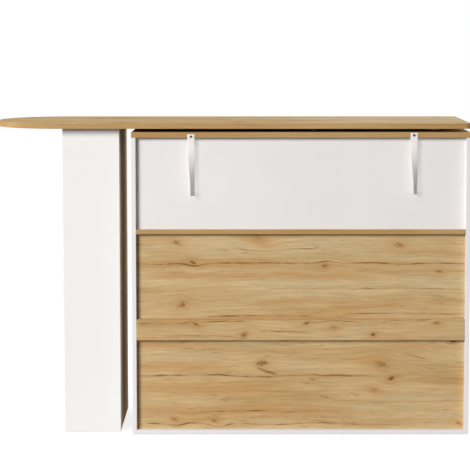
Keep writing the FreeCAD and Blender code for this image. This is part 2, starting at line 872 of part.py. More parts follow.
hinge_places = [(HINGE_LEFT, DOOR_MIDDLE), (HINGE_RIGHT, DOOR_MIDDLE)]
pocket(
    bottom_panel,
    circles(
        bottom_panel,
        "XY_Plane",
        [(f"{x} - {INNER_LEFT}", f"{y} - {BACK}") for x, y in hinge_places],
        BUSH_RADIUS,
        "sizes.board",
    ),
    "sizes.bush_depth",
)
pocket(
    fixed_shelf,
    circles(
        fixed_shelf,
        "XY_Plane",
        [(f"{x} - {INNER_LEFT}", f"{y} - {BACK}") for x, y in hinge_places],
        BUSH_RADIUS,
    ),
    "sizes.bush_depth",
    forward=True,
)
copies(
    "door_bushes",
    door_bush,
    [(x, y, FLOOR_TOP) for x, y in hinge_places]
    + [(x, y, "sizes.shelf_level") for x, y in hinge_places],
    [UPRIGHT, UPRIGHT, UPSIDE_DOWN, UPSIDE_DOWN],
)
KNOB_LEVEL = f"({DOOR_HEIGHT} - sizes.knob_drop)"
for side, hinge_x, corners, way in (
    (
        "left",
        HINGE_LEFT,
        [
            ("0", f"-{HALF}"),
            (DOOR_REACH, f"-{HALF}"),
            (DOOR_REACH, HALF),
            ("0", HALF, HALF),
            (f"-{HALF}", "0", HALF),
        ],
        "1",
    ),
    (
        "right",
        HINGE_RIGHT,
        [
            (f"-{DOOR_REACH}", f"-{HALF}"),
            ("0", f"-{HALF}", HALF),
            (HALF, "0", HALF),
            ("0", HALF),
            (f"-{DOOR_REACH}", HALF),
        ],
        "-1",
    ),
):
    door = new_body(f"door_{side}", (hinge_x, DOOR_MIDDLE, DOOR_FOOT))
    ease(door, pad(door, outline(door, "XY_Plane", corners), DOOR_HEIGHT))
    for offset, forward in (("0", True), (DOOR_HEIGHT, False)):
        pocket(
            door,
            circles(door, "XY_Plane", [("0", "0")], "sizes.pivot_diameter / 2", offset),
            "sizes.pivot_hold + sizes.fit_play",
            forward=forward,
        )
    nodes.append(door)
    copies(
        f"door_pivots_{side}",
        pivot_pin,
        [
            (hinge_x, DOOR_MIDDLE, DOOR_FOOT),
            (hinge_x, DOOR_MIDDLE, f"{DOOR_FOOT} + {DOOR_HEIGHT}"),
        ],
        [UPSIDE_DOWN, UPRIGHT],
    )
    knob_x = f"{hinge_x} + {way} * ({DOOR_REACH} - sizes.knob_inset)"
    knob = new_body(
        f"door_knob_{side}", (knob_x, DOOR_FRONT, f"{DOOR_FOOT} + {KNOB_LEVEL}"), ALONG_Y
    )
    revolve(
        knob,
        [
            ("0", "0"),
            ("sizes.knob_neck / 2", "0"),
            ("sizes.knob_neck / 2", "sizes.knob_height / 2"),
            ("sizes.knob_diameter / 2", "sizes.knob_height - sizes.knob_edge", "sizes.knob_edge"),
            ("sizes.knob_diameter / 2 - sizes.knob_edge", "sizes.knob_height"),
            ("0", "sizes.knob_height"),
        ],
    )
    nodes.append(knob)
    catch_x = f"({hinge_x} + {way} * ({DOOR_REACH} - sizes.catch_inset))"
    board(
        f"door_strike_{side}",
        (
            f"{catch_x} - sizes.catch_width / 2",
            f"{DOOR_BACK} - sizes.strike_thickness",
            f"{DOOR_FOOT} + {DOOR_HEIGHT} - sizes.catch_height",
        ),
        ("sizes.catch_width", "sizes.strike_thickness", "sizes.catch_height"),
        eased=False,
    )
    board(
        f"magnet_catch_{side}",
        (
            f"{catch_x} - sizes.catch_width / 2",
            f"{DOOR_BACK} - sizes.strike_thickness - sizes.seat_play - sizes.catch_depth",
            "sizes.shelf_level - sizes.catch_height",
        ),
        ("sizes.catch_width", "sizes.catch_depth", "sizes.catch_height"),
    )

# The tip-restraint straps: nylon webbing screwed to the back edge of the top board, hanging twisted


def strap_section(centre, turn, width, thickness):
    """A cross-section of the webbing, turned about the vertical."""
    along = FreeCAD.Vector(math.cos(turn), math.sin(turn), 0) * (width / 2)
    across = FreeCAD.Vector(-math.sin(turn), math.cos(turn), 0) * (thickness / 2)
    corners = [
        centre - along - across,
        centre + along - across,
        centre + along + across,
        centre - along + across,
    ]
    return Part.makePolygon(corners + corners[:1])


strap_screw = turned_screw(
    "strap_screw",
    "sizes.screw_diameter",
    "sizes.screw_head",
    "sizes.screw_head_height",
    "sizes.strap_thickness + 2 * sizes.screw_hold",
)
eyelet = new_body("eyelet")
EYELET_SEAT = "(sizes.strap_thickness / 2 + sizes.fit_play)"
EYELET_FACE = f"({EYELET_SEAT} + sizes.eyelet_lip)"
EYELET_BORE = "(sizes.eyelet_bore / 2)"
EYELET_TUBE = f"({EYELET_BORE} + sizes.eyelet_wall)"
revolve(
    eyelet,
    [
        (EYELET_BORE, f"-{EYELET_FACE}"),
        ("sizes.eyelet_flange / 2", f"-{EYELET_FACE}"),
        ("sizes.eyelet_flange / 2", f"-{EYELET_SEAT}"),
        (EYELET_TUBE, f"-{EYELET_SEAT}"),
        (EYELET_TUBE, EYELET_SEAT),
        ("sizes.eyelet_flange / 2", EYELET_SEAT),
        ("sizes.eyelet_flange / 2", EYELET_FACE),
        (EYELET_BORE, EYELET_FACE),
    ],
)
eyelet_places = [
    (
        f"{x} + sizes.strap_drift",
        f"{STRAP_BACK} + sizes.strap_thickness / 2 - sizes.strap_sway",
        f"{top} - sizes.strap_length + sizes.strap_hole_margin",
    )
    for side, x, top in STRAPS
]
twist = math.radians(STRAP_TWIST)
facing = FreeCAD.Vector(math.sin(twist), -math.cos(twist), 0)
strap_width = value("sizes.strap_width")
strap_thickness = value("sizes.strap_thickness")
drift = FreeCAD.Vector(value("sizes.strap_drift"), -value("sizes.strap_sway"), 0)
for (side, x, top), screw_place, eyelet_place in zip(STRAPS, strap_screw_places, eyelet_places):
    start = FreeCAD.Vector(
        value(x), value(STRAP_BACK) + strap_thickness / 2, value(top)
    )
    board_foot = value(f"{top} - {CARCASS_TOP}")
    tab_head = value("sizes.strap_length - 2 * sizes.strap_hole_margin")
    sections = [strap_section(start, 0, strap_width, strap_thickness)]
    for index in range(STRAP_SECTIONS):
        share = index / (STRAP_SECTIONS - 1)
        eased_share = share * share * (3 - 2 * share)
        down = FreeCAD.Vector(0, 0, board_foot + share * (tab_head - board_foot))
        centre = start + drift * eased_share - down
        sections.append(strap_section(centre, twist * eased_share, strap_width, strap_thickness))
    tab_foot = start + drift - FreeCAD.Vector(0, 0, value("sizes.strap_length"))
    sections.append(strap_section(tab_foot, twist, strap_width, strap_thickness))
    webbing = Part.makeLoft(sections[1:-1], True, False)
    webbing = webbing.fuse([Part.makeLoft(pair, True, True) for pair in (sections[:2], sections[-2:])])
    screw_at = FreeCAD.Vector(value(screw_place[0]), start.y, value(screw_place[1]))
    eyelet_at = FreeCAD.Vector(*[value(number) for number in eyelet_place])
    holes = [
        Part.makeCylinder(radius, 2 * strap_width, at - way * strap_width, way)
        for radius, at, way in (
            (value("sizes.screw_diameter / 2"), screw_at, FreeCAD.Vector(0, 1, 0)),
            (value(f"{EYELET_TUBE} + sizes.fit_play"), eyelet_at, facing),
        )
    ]
    strap = doc.addObject("Part::Feature", f"tip_strap_{side}")
    strap.Shape = webbing.cut(holes).removeSplitter()
    nodes.append(strap)
copies(
    "strap_screws",
    strap_screw,
    [(x, STRAP_BACK, z) for x, z in strap_screw_places],
    [AGAINST_Y] * len(STRAPS),
)
copies(
    "strap_eyelets",
    eyelet,
    eyelet_places,
    [FreeCAD.Rotation(FreeCAD.Vector(0, 0, 1), facing)] * len(STRAPS),
)

doc.recompute()
failed = [item.Label for item in doc.Objects if {"Invalid", "Error"} & set(item.State)]
if failed:
    raise RuntimeError(f"not built: {failed}")
for node in nodes:
    if node.Shape.isNull() or not node.Shape.isValid() or not node.Shape.Solids:
        raise RuntimeError(f"{node.Label} has no valid solid")

os.makedirs("parts", exist_ok=True)
for node in nodes:
    node.Shape.exportStep(f"parts/{node.Label}.step")
print(len(nodes), "sub-parts written")
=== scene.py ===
"""Looks of a bar cabinet whose long bar top swings on a turntable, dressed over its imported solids."""

import math
import random

import bmesh
import bpy
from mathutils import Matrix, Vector


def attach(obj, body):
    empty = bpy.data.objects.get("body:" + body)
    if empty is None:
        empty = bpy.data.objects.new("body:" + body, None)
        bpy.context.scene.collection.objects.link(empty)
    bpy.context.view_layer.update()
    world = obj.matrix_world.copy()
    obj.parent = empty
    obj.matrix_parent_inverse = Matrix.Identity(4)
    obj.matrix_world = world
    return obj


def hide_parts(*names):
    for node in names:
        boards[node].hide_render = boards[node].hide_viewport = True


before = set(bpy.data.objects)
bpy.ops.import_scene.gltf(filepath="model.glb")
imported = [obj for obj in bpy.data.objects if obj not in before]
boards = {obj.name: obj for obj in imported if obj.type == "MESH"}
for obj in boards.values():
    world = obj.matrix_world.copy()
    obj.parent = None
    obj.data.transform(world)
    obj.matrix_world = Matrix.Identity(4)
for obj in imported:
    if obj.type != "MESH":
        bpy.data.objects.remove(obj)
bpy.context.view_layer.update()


# White boards of the carcass: sides, bottom, partitions, upper back, loose shelves and doors.
# They are chipboard faced with white melamine, its skin pressed to a fine orange peel, with
# a matching band glued round the edges. They are screwed together and stand on glides.
def paint(red, green, blue):
    """A paint colour as a colour chart gives it, from 0 to 255, in linear light."""
    parts = [part / 255 for part in (red, green, blue)]
    return (*[p / 12.92 if p <= 0.04045 else ((p + 0.055) / 1.055) ** 2.4 for p in parts], 1.0)


def wire(tree, kind, inputs=(), **settings):
    """One node of a finish or a set, with its settings, and its inputs joined to sockets or set to values."""
    made = tree.nodes.new(kind)
    for name, setting in settings.items():
        setattr(made, name, setting)
    pairs = inputs.items() if isinstance(inputs, dict) else enumerate(inputs)
    for socket, source in pairs:
        if isinstance(source, bpy.types.NodeSocket):
            tree.links.new(source, made.inputs[socket])
        else:
            made.inputs[socket].default_value = source
    return made


def reckon(tree, operation, *terms):
    """A number worked out from others, each a socket or a value."""
    return wire(tree, "ShaderNodeMath", terms, operation=operation).outputs[0]


def times(tree, first, second):
    return reckon(tree, "MULTIPLY", first, second)


def plus(tree, first, second):
    return reckon(tree, "ADD", first, second)


def ease_over(tree, source, low, high, start=0.0, end=1.0):
    """Goes smoothly from start to end while the source goes from low to high."""
    steps = (source, low, high, start, end)
    return wire(tree, "ShaderNodeMapRange", steps, interpolation_type="SMOOTHSTEP").outputs[0]


def noise(tree, place, scale, detail):
    """Soft noise with so many spots to the metre."""
    sockets = {"Vector": place, "Scale": scale, "Detail": detail}
    return wire(tree, "ShaderNodeTexNoise", sockets).outputs[0]


def tint(tree, share, first, second, blend="MIX"):
    """Blends two colours by a share."""
    sockets = {0: share, 6: first, 7: second}
    made = wire(tree, "ShaderNodeMix", sockets, data_type="RGBA", blend_type=blend)
    return made.outputs[2]


def emboss(tree, shader, height, strength, depth):
    """Lays a fine relief over a finish."""
    sockets = {"Strength": strength, "Distance": depth, "Height": height}
    tree.links.new(wire(tree, "ShaderNodeBump", sockets).outputs[0], shader.inputs["Normal"])


def numbers(*labels):
    """Sockets of a node group that carry plain numbers."""
    return [(label, "Float") for label in labels]


def node_group(name, inputs, outputs, kind="ShaderNodeTree"):
    """An empty node group with its sockets, for an effect that finishes share or a set of like pieces."""
    group = bpy.data.node_groups.new(name, kind)
    for label, socket in inputs:
        group.interface.new_socket(label, in_out="INPUT", socket_type="NodeSocket" + socket)
    for label, socket in outputs:
        group.interface.new_socket(label, in_out="OUTPUT", socket_type="NodeSocket" + socket)
    return group, wire(group, "NodeGroupInput").outputs, wire(group, "NodeGroupOutput").inputs


def new_finish(name, **sockets):
    """A new material with its shader, and the values that are the same all over it."""
    material = bpy.data.materials.new(name)
    material.use_nodes = True
    shader = material.node_tree.nodes["Principled BSDF"]
    for label, value in sockets.items():
        shader.inputs[label.replace("_", " ")].default_value = value
    return material, material.node_tree, shader


def dress(material, *names):
    """Puts a finish on solids that keep their shape."""
    for name in names:
        boards[name].data.materials.clear()
        boards[name].data.materials.append(material)


SKIN, skin_in, skin_out = node_group(
    "pressed_skin",
    [("Place", "Vector"), *numbers("Pitch", "Drift")],
    numbers("Tone", "Gloss", "Height"),
)
skin_place, skin_pitch, skin_drift = skin_in[:3]
peel = noise(SKIN, skin_place, skin_pitch, 2.0)
smear = noise(SKIN, skin_place, skin_drift, 4.0)
SKIN.links.new(ease_over(SKIN, smear, 0.3, 0.7), skin_out["Tone"])
SKIN.links.new(plus(SKIN, times(SKIN, peel, 0.4), smear), skin_out["Gloss"])
SKIN.links.new(peel, skin_out["Height"])


def skin_finish(name, light, dark, pitch, drift, gloss, depth):
    """A moulded, pressed or coated skin between two close colours, with a fine peel."""
    material, tree, shader = new_finish(name)
    place = wire(tree, "ShaderNodeTexCoord").outputs["Object"]
    skin = wire(tree, "ShaderNodeGroup", (place, pitch, drift), node_tree=SKIN).outputs
    tree.links.new(tint(tree, skin["Tone"], light, dark), shader.inputs["Base Color"])
    tree.links.new(ease_over(tree, skin["Gloss"], 0.4, 1.0, *gloss), shader.inputs["Roughness"])
    emboss(tree, shader, skin["Height"], 0.35, depth)
    return material


white_melamine = skin_finish(
    "white_melamine",
    light=paint(232, 229, 228),
    dark=paint(228, 225, 224),
    pitch=900.0,
    drift=3.0,
    gloss=(0.38, 0.52),
    depth=0.00012,
)
dress(white_melamine, "side_panel_left", "side_panel_right", "bottom_panel", "upper_back_panel")
dress(white_melamine, "upper_partition", "lower_partition", "loose_shelf_left", "loose_shelf_right")
dress(white_melamine, "door_left", "door_right")

# Oak boards of the carcass: cabinet top, fixed shelf, two back panels and the rail between them.
# They are faced with a printed oak decor that runs the long way, pale, with amber bands, dark
# splits along the grain and small knots. The edges carry a plainer band of the same print.
def minus(tree, first, second):
    return reckon(tree, "SUBTRACT", first, second)


def over(tree, first, second):
    return reckon(tree, "DIVIDE", first, second)


def larger(tree, first, second):
    return reckon(tree, "MAXIMUM", first, second)


def smaller(tree, first, second):
    return reckon(tree, "MINIMUM", first, second)


def cloud(tree, along, across, depth, detail=2.0, rough=0.5):
    """Soft noise over two lengths that are already scaled, with depth as its seed."""
    place = wire(tree, "ShaderNodeCombineXYZ", (along, across, depth)).outputs[0]
    sockets = {"Vector": place, "Scale": 1.0, "Detail": detail, "Roughness": rough}
    return wire(tree, "ShaderNodeTexNoise", sockets).outputs[0]


KNOT, knot_in, knot_out = node_group(
    "knot",
    numbers("Along", "Across", "At", "Level", "Size", "Dark"),
    numbers("Core", "Halo", "Push"),
)
knot_along, knot_across, knot_at, knot_level, knot_size, knot_dark = knot_in[:6]
run = over(KNOT, minus(KNOT, knot_along, knot_at), knot_size)
rise = over(KNOT, minus(KNOT, knot_across, knot_level), knot_size)
ragged_along = times(KNOT, knot_along, 70.0)
ragged_across = times(KNOT, knot_across, 190.0)
ragged = cloud(KNOT, ragged_along, ragged_across, knot_at, detail=4.0, rough=0.6)
sway = reckon(KNOT, "SINE", times(KNOT, knot_at, 91.0))
lean = plus(KNOT, rise, times(KNOT, sway, times(KNOT, run, 0.3)))
run_square = times(KNOT, run, run)
rise_square = times(KNOT, lean, lean)
reach = reckon(KNOT, "SQRT", plus(KNOT, times(KNOT, run_square, 0.3), rise_square))
reach = plus(KNOT, reach, times(KNOT, minus(KNOT, ragged, 0.5), 2.6))
spread = plus(KNOT, times(KNOT, run_square, 0.05), times(KNOT, rise_square, 0.16))
fade = reckon(KNOT, "EXPONENT", times(KNOT, spread, -1.0))
heart = ease_over(KNOT, reach, 0.1, 0.95, 1.0, 0.0)
from_bark = reckon(KNOT, "ABSOLUTE", minus(KNOT, reach, 1.25))
bark = ease_over(KNOT, from_bark, 0.0, 0.35, 0.5, 0.0)
bark = times(KNOT, bark, ease_over(KNOT, ragged, 0.5, 0.66))
push = times(KNOT, times(KNOT, rise, knot_size), times(KNOT, fade, -0.75))
KNOT.links.new(times(KNOT, larger(KNOT, heart, bark), knot_dark), knot_out["Core"])
KNOT.links.new(times(KNOT, fade, plus(KNOT, ragged, 0.3)), knot_out["Halo"])
KNOT.links.new(push, knot_out["Push"])

SPLIT, split_in, split_out = node_group(
    "grain_split",
    numbers("Along", "Across", "Level", "Start", "End", "Width", "Slope"),
    numbers("Line", "Glow"),
)
split_along, split_across, split_level, split_start, split_end, split_wide, split_slope = split_in[:7]
wave_seed = times(SPLIT, split_level, 53.0)
wave = cloud(SPLIT, times(SPLIT, split_along, 4.5), split_level, wave_seed, detail=3.0)
offset = times(SPLIT, minus(SPLIT, wave, 0.5), 0.024)
climb = times(SPLIT, minus(SPLIT, split_along, split_start), split_slope)
course = plus(SPLIT, plus(SPLIT, split_level, climb), offset)
gap = reckon(SPLIT, "ABSOLUTE", minus(SPLIT, split_across, course))
weight_seed = times(SPLIT, split_level, 71.0)
weight = cloud(SPLIT, times(SPLIT, split_along, 16.0), split_level, weight_seed)
half = times(SPLIT, split_wide, ease_over(SPLIT, weight, 0.3, 0.7, 0.3, 1.3))
share = over(SPLIT, gap, half)
feather_along = times(SPLIT, split_along, 22.0)
feather_across = times(SPLIT, split_across, 210.0)
feather = cloud(SPLIT, feather_along, feather_across, split_level, detail=3.0)
ragged_end = minus(SPLIT, feather, 0.5)
wide_share = plus(SPLIT, over(SPLIT, gap, split_wide), times(SPLIT, ragged_end, 6.0))
split_long = minus(SPLIT, split_end, split_start)
taper = smaller(SPLIT, times(SPLIT, split_wide, 28.0), times(SPLIT, split_long, 0.4))
from_start = over(SPLIT, minus(SPLIT, split_along, split_start), taper)
from_end = over(SPLIT, minus(SPLIT, split_end, split_along), taper)
nearer_end = plus(SPLIT, smaller(SPLIT, from_start, from_end), ragged_end)
inside = ease_over(SPLIT, nearer_end, 0.0, 1.0)
open_share = plus(SPLIT, weight, times(SPLIT, feather, 0.4))
broken = ease_over(SPLIT, open_share, 0.52, 0.86, 0.4, 1.0)
cut_line = times(SPLIT, ease_over(SPLIT, share, 0.2, 1.1, 1.0, 0.0), broken)
amber_line = ease_over(SPLIT, wide_share, -0.5, 4.5, 1.0, 0.0)
SPLIT.links.new(times(SPLIT, inside, cut_line), split_out["Line"])
SPLIT.links.new(times(SPLIT, inside, amber_line), split_out["Glow"])

OAK, oak_in, oak_out = node_group(
    "oak_decor",
    numbers("Along", "Across", "Seed", "Core", "Halo", "Line", "Glow", "Edge"),
    [("Color", "Color"), *numbers("Gloss", "Height")],
)
oak_along, oak_across, oak_seed, oak_core, oak_halo, oak_line, oak_glow, oak_edge = oak_in[:8]


def grain(along_scale, across_scale, step, across, detail=2.0, rough=0.5):
    """A noise that runs with the grain, so many marks to the metre along it and across it."""
    along_marks = times(OAK, oak_along, along_scale)
    across_marks = times(OAK, across, across_scale)
    return cloud(OAK, along_marks, across_marks, plus(OAK, oak_seed, step), detail, rough)


def shifted(across, source, reach):
    """Moves the grain sideways by a noise, by up to half the reach either way."""
    return plus(OAK, across, times(OAK, minus(OAK, source, 0.5), reach))


OAK_TONES = (
    (0.26, paint(212, 188, 146)),
    (0.44, paint(205, 177, 132)),
    (0.58, paint(198, 165, 116)),
    (0.78, paint(188, 146, 93)),
)
EDGE_BAND = paint(172, 131, 77)
AMBER = paint(190, 139, 84)
SPLIT_BROWN = paint(116, 82, 46)
KNOT_BROWN = paint(106, 64, 33)

flow = shifted(oak_across, grain(1.3, 2.4, 0.0, oak_across), 0.06)
flow = shifted(flow, grain(6.0, 11.0, 3.0, flow), 0.004)
band = grain(1.5, 15.0, 7.0, flow, 3.0, 0.55)
ramp = wire(OAK, "ShaderNodeValToRGB", (band,))
while len(ramp.color_ramp.elements) < len(OAK_TONES):
    ramp.color_ramp.elements.new(0.5)
for stop, (position, colour) in zip(ramp.color_ramp.elements, OAK_TONES):
    stop.position = position
    stop.color = colour
streak = grain(3.4, 120.0, 11.0, flow, 3.0, 0.6)
dash = grain(12.0, 190.0, 15.0, flow, 3.0, 0.65)
patch = grain(5.0, 28.0, 17.0, flow, 3.0, 0.6)
fibre = grain(18.0, 720.0, 19.0, flow)
pore = ease_over(OAK, grain(70.0, 1500.0, 31.0, flow), 0.6, 0.72)
check = ease_over(OAK, grain(15.0, 135.0, 37.0, flow, 2.0, 0.6), 0.635, 0.72)
tone = ease_over(OAK, streak, 0.3, 0.72, 1.05, 0.91)
for mark, light, dark in ((dash, 1.08, 0.89), (patch, 1.04, 0.95), (fibre, 1.06, 0.93)):
    tone = times(OAK, tone, ease_over(OAK, mark, 0.28, 0.72, light, dark))
tone = times(OAK, tone, ease_over(OAK, pore, 0.0, 1.0, 1.0, 0.86))
grey = wire(OAK, "ShaderNodeCombineColor", (tone, tone, tone)).outputs[0]
toned = tint(OAK, 1.0, ramp.outputs[0], grey, "MULTIPLY")
toned = tint(OAK, times(OAK, oak_edge, 0.55), toned, EDGE_BAND)
plain = minus(OAK, 1.0, times(OAK, oak_edge, 0.8))
warm = larger(OAK, oak_glow, oak_halo)
line = larger(OAK, times(OAK, check, 0.45), oak_line)
for mark, strength, colour in ((warm, 0.6, AMBER), (line, 0.75, SPLIT_BROWN), (oak_core, 0.95, KNOT_BROWN)):
    toned = tint(OAK, times(OAK, mark, times(OAK, plain, strength)), toned, colour)
sunken = times(OAK, larger(OAK, pore, line), 0.6)
OAK.links.new(toned, oak_out["Color"])
OAK.links.new(ease_over(OAK, streak, 0.3, 0.7, 0.66, 0.84), oak_out["Gloss"])
OAK.links.new(minus(OAK, times(OAK, fibre, 0.5), sunken), oak_out["Height"])

FLAT_PRINT, SPLIT_GLOW = 0.004, 0.55


def length_along(tree, place, direction):
    """How far a place or a normal goes along a direction."""
    made = wire(tree, "ShaderNodeVectorMath", (place, direction), operation="DOT_PRODUCT")
    return made.outputs["Value"]


def oak_board(name, along, across, seed, knots=(), splits=(), ambers=(), edge=None, gloss=FLAT_PRINT):
    """Oak decor with its grain along one direction, and its own knots, splits and amber streaks."""
    material, tree, shader = new_finish(name, Specular_IOR_Level=gloss)
    place = wire(tree, "ShaderNodeTexCoord").outputs
    length = length_along(tree, place["Object"], along)
    width = length_along(tree, place["Object"], across)
    bent, core, halo, line, glow, side = width, 0.0, 0.0, 0.0, 0.0, 0.0
    for knot in knots:
        mark = wire(tree, "ShaderNodeGroup", (length, width, *knot), node_tree=KNOT).outputs
        core = larger(tree, core, mark["Core"])
        halo = larger(tree, halo, mark["Halo"])
        bent = plus(tree, bent, mark["Push"])
    for number, split in enumerate((*splits, *ambers)):
        mark = wire(tree, "ShaderNodeGroup", (length, bent, *split), node_tree=SPLIT).outputs
        amber = mark["Glow"]
        if number < len(splits):
            line = larger(tree, line, mark["Line"])
            amber = times(tree, amber, SPLIT_GLOW)
        glow = larger(tree, glow, amber)
    if edge:
        facing = reckon(tree, "ABSOLUTE", length_along(tree, place["Normal"], edge))
        side = ease_over(tree, facing, 0.3, 0.8, 1.0, 0.0)
    sources = (length, bent, seed, core, halo, line, glow, side)
    decor = wire(tree, "ShaderNodeGroup", sources, node_tree=OAK).outputs
    tree.links.new(decor["Color"], shader.inputs["Base Color"])
    tree.links.new(decor["Gloss"], shader.inputs["Roughness"])
    emboss(tree, shader, decor["Height"], 0.3, 0.0003)
    return material


def scattered(seed, count, lengths, widths, sizes):
    """Knots thrown over a board whose own marks do not show."""
    draw = random.Random(seed)
    ranges = (lengths, widths, sizes, (0.35, 1.0))
    return [tuple(draw.uniform(*limits) for limits in ranges) for _ in range(count)]


LENGTHWISE = (1.0, 0.0, 0.0)
ACROSS = (0.0, 1.0, 1.0)
UPRIGHT = (0.0, 0.0, 1.0)

# The marks of the two back panels and of the rail, as their print shows them, with painted shade
# at the left end of the lower panel. A knot has its place along the board, its height, size and
# darkness. A split or an amber streak has its height, start, end and width, and some have a slope.
PANEL_AT, RAIL_AT = -0.207, -0.225
MIDDLE_KNOTS = [
    (-0.181, 0.650, 0.010, 0.6),
    (-0.125, 0.583, 0.007, 0.9),
    (-0.161, 0.440, 0.010, 0.8),
    (0.090, 0.668, 0.014, 0.3),
    (0.317, 0.570, 0.008, 0.8),
    (0.566, 0.642, 0.009, 0.6),
    (0.698, 0.553, 0.006, 0.8),
]
MIDDLE_SPLITS = [
    (0.580, -0.34, 0.82, 0.0034),
    (0.401, -0.12, 0.30, 0.0036),
    (0.409, 0.36, 0.82, 0.0018),
    (0.493, 0.10, 0.80, 0.0014),
    (0.628, 0.00, 0.30, 0.0014),
]
MIDDLE_AMBERS = [
    (0.540, -0.34, 0.52, 0.0050),
    (0.676, -0.01, 0.18, 0.0056, -0.15),
    (0.450, 0.02, 0.34, 0.0040),
    (0.616, -0.32, -0.10, 0.0040),
]
LOWER_KNOTS = [
    (0.106, 0.242, 0.013, 0.8),
    (0.507, 0.237, 0.014, 0.55),
    (0.541, 0.190, 0.009, 0.9),
    (0.486, 0.150, 0.012, 0.35),
    (0.276, 0.186, 0.005, 0.7),
    (0.750, 0.317, 0.012, 1.0),
    (-0.190, 0.049, 0.008, 0.5),
    (-0.055, 0.045, 0.009, 0.6),
    (0.770, 0.036, 0.006, 0.6),
]
LOWER_SPLITS = [
    (0.198, -0.34, 0.50, 0.0036),
    (0.076, -0.10, 0.30, 0.0026),
    (0.034, -0.34, 0.56, 0.0030),
    (0.242, 0.080, 0.170, 0.0054, -0.50),
    (0.230, 0.080, 0.160, 0.0046, -0.42),
    (0.276, 0.570, 0.680, 0.0032, -0.22),
    (0.112, 0.30, 0.80, 0.0012),
]
# The wide amber streaks that start well past the left end are amber print and painted shade: they darken the
# lower panel's left part, where shade from the side panel falls.
LOWER_AMBERS_AND_SHADE = [
    (0.158, -1.00, 0.30, 0.0120),
    (0.080, -0.90, 0.52, 0.0080),
    (0.300, 0.46, 0.78, 0.0040),
    (0.316, -1.00, 0.08, 0.0130),
    (0.228, -0.80, 0.10, 0.0070),
]
RAIL_KNOTS = [
    (0.046, 0.343, 0.009, 0.7),
    (-0.118, 0.377, 0.007, 0.8),
    (0.254, 0.380, 0.007, 0.8),
    (0.478, 0.341, 0.008, 0.9),
    (0.690, 0.381, 0.009, 0.6),
    (0.345, 0.367, 0.008, 0.4),
]
RAIL_SPLITS = [
    (0.383, -0.34, 0.10, 0.0024),
    (0.382, 0.24, 0.46, 0.0030),
    (0.386, 0.50, 0.82, 0.0028),
    (0.352, 0.10, 0.30, 0.0020),
    (0.338, -0.25, 0.08, 0.0016),
]


def on_face(marks, face, level):
    """Marks of an upright face, for a print whose across length adds the face's depth to height."""
    return [(*mark[:level], mark[level] + face, *mark[level + 1 :]) for mark in marks]


def upright_oak(name, seed, face, knots, splits, ambers=()):
    """Oak decor of a board that stands upright, with marks given by their length and height."""
    marks = (on_face(knots, face, 1), on_face(splits, face, 0), on_face(ambers, face, 0))
    return oak_board(name, LENGTHWISE, ACROSS, seed, *marks)


middle_oak = upright_oak("oak_middle_back", 2.0, PANEL_AT, MIDDLE_KNOTS, MIDDLE_SPLITS, MIDDLE_AMBERS)
dress(middle_oak, "middle_back_panel")
lower_oak = upright_oak("oak_lower_back", 5.5, PANEL_AT, LOWER_KNOTS, LOWER_SPLITS, LOWER_AMBERS_AND_SHADE)
dress(lower_oak, "lower_back_panel")
dress(upright_oak("oak_rail", 9.0, RAIL_AT, RAIL_KNOTS, RAIL_SPLITS), "back_rail")
TOP_KNOTS = scattered(11, 5, (-0.28, 0.75), (0.82, 1.22), (0.006, 0.012))
dress(oak_board("oak_cabinet_top", LENGTHWISE, ACROSS, 12.5, TOP_KNOTS, edge=UPRIGHT), "cabinet_top")
SHELF_KNOTS = scattered(12, 5, (-0.28, 0.75), (0.50, 0.90), (0.006, 0.012))
dress(oak_board("oak_fixed_shelf", LENGTHWISE, ACROSS, 16.0, SHELF_KNOTS, edge=UPRIGHT), "fixed_shelf")

# Knobs of the doors, turned from solid oak, oiled, and screwed on from behind.
# Their grain shows as arcs across the rounded face.
knob_oak = oak_board("oak_knob", LENGTHWISE, ACROSS, 20.0)
dress(knob_oak, "door_knob_left", "door_knob_right")

# Steel small parts: shelf pins, door pivots, catch plates, balls, roller brackets and axles, and
# the straps' eyelets. They are turned or pressed from mild steel and zinc plated, bright, with
# a faint cloudy film.
def steel_finish(name, bright, dull):
    """Plated or browned steel, with a cloudy film over a finely rubbed skin."""
    material, tree, shader = new_finish(name, Metallic=1.0)
    place = wire(tree, "ShaderNodeTexCoord").outputs["Object"]
    film = noise(tree, place, 160.0, 4.0)
    rub = noise(tree, place, 1600.0, 1.0)
    tree.links.new(tint(tree, ease_over(tree, film, 0.3, 0.7), bright, dull), shader.inputs["Base Color"])
    tree.links.new(ease_over(tree, film, 0.3, 0.7, 0.24, 0.4), shader.inputs["Roughness"])
    emboss(tree, shader, rub, 0.15, 0.00004)
    return material


zinc = steel_finish("zinc_plate", paint(206, 207, 210), paint(186, 186, 184))
dress(zinc, "shelf_pins", "door_pivots_left", "door_pivots_right", "door_strike_left", "door_strike_right")
dress(zinc, "swivel_balls", "roller_bracket_back", "roller_bracket_front")
dress(zinc, "roller_axle_back", "roller_axle_front", "strap_eyelets")

# Nylon parts: pivot bushes, magnet catches, floor glides and the wheels under the pillar.
# They are injection moulded in a milky nylon, half matt, with a fine spark-eroded skin.
nylon = skin_finish(
    "moulded_nylon",
    light=paint(226, 223, 214),
    dark=paint(212, 208, 198),
    pitch=1400.0,
    drift=25.0,
    gloss=(0.36, 0.5),
    depth=0.00008,
)
dress(nylon, "door_bushes", "magnet_catch_left", "magnet_catch_right", "cabinet_glides")
dress(nylon, "roller_wheel_back", "roller_wheel_front")

# Turntable bearing between the cabinet and the bar top: two steel rings with a ball race.
# The rings are rolled from strip and powder coated black, and the black is also painted shade, so the gap
# reads dark from outside.
gap_shade_black_coat = skin_finish(
    "black_powder_coat_and_gap_shade",
    light=paint(34, 33, 32),
    dark=paint(24, 23, 22),
    pitch=1100.0,
    drift=30.0,
    gloss=(0.45, 0.62),
    depth=0.0001,
)
dress(gap_shade_black_coat, "swivel_inner_ring", "swivel_outer_ring")

